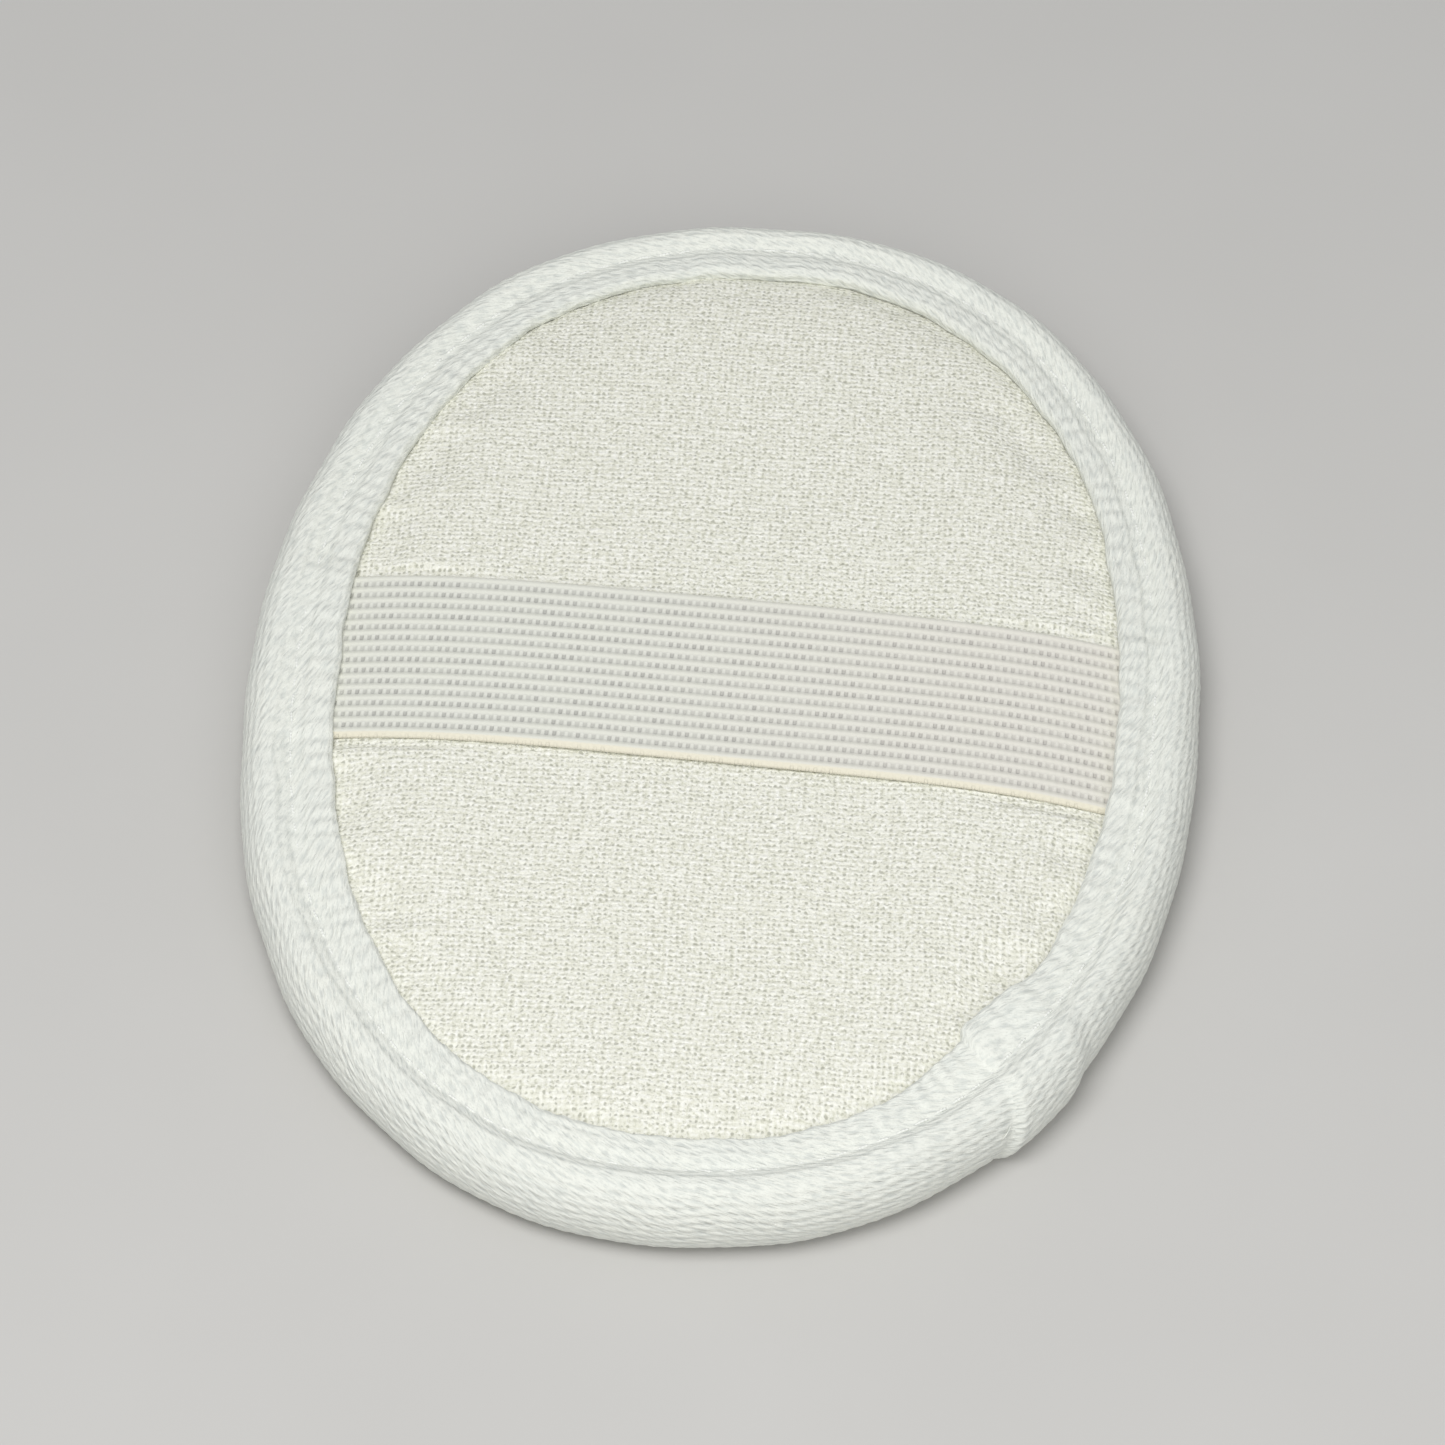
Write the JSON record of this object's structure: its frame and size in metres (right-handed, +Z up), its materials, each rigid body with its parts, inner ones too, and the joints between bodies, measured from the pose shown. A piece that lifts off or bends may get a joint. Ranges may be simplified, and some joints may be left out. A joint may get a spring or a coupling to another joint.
{
  "type": "loofah hand pad",
  "caption": "Oval body-scrubbing pad: a pressed loofah face, a woven cotton back with an elastic hand strap, and a folded cotton tape bound round the rim.",
  "frame": {"origin": "middle of the underside, where the loofah face rests", "axes": "+Z up through the pad from the loofah face to the strap, +Y along the pad's long axis, +X across it along the strap"},
  "size_m": [0.112, 0.154, 0.0123],
  "materials": {
    "loofah": "dense mat of dry plant fibre, rough and matt",
    "foam": "soft matt wadding, hidden inside",
    "cloth": "undyed plain-weave cloth with slubs, matt",
    "tape": "white cotton tape with fine lengthwise ridges, matt",
    "elastic": "knitted elastic with lengthwise ribs, matt",
    "thread": "spun sewing thread"
  },
  "bodies": {
    "pad": {"loofah_face": "loofah", "foam_core": "foam", "back_cloth": "cloth", "edge_binding": "tape", "needle_thread": "thread", "bobbin_thread": "thread"},
    "strap": {"hand_strap": "elastic"}
  },
  "joints": [
    {"name": "strap_lift", "type": "slide", "parent": "pad", "child": "strap", "axis": [0, 0, 1], "range_m": [0, 0.025], "stiffness_N_per_m": 200, "springref_m": -0.002, "deforming": ["hand_strap"]}
  ]
}
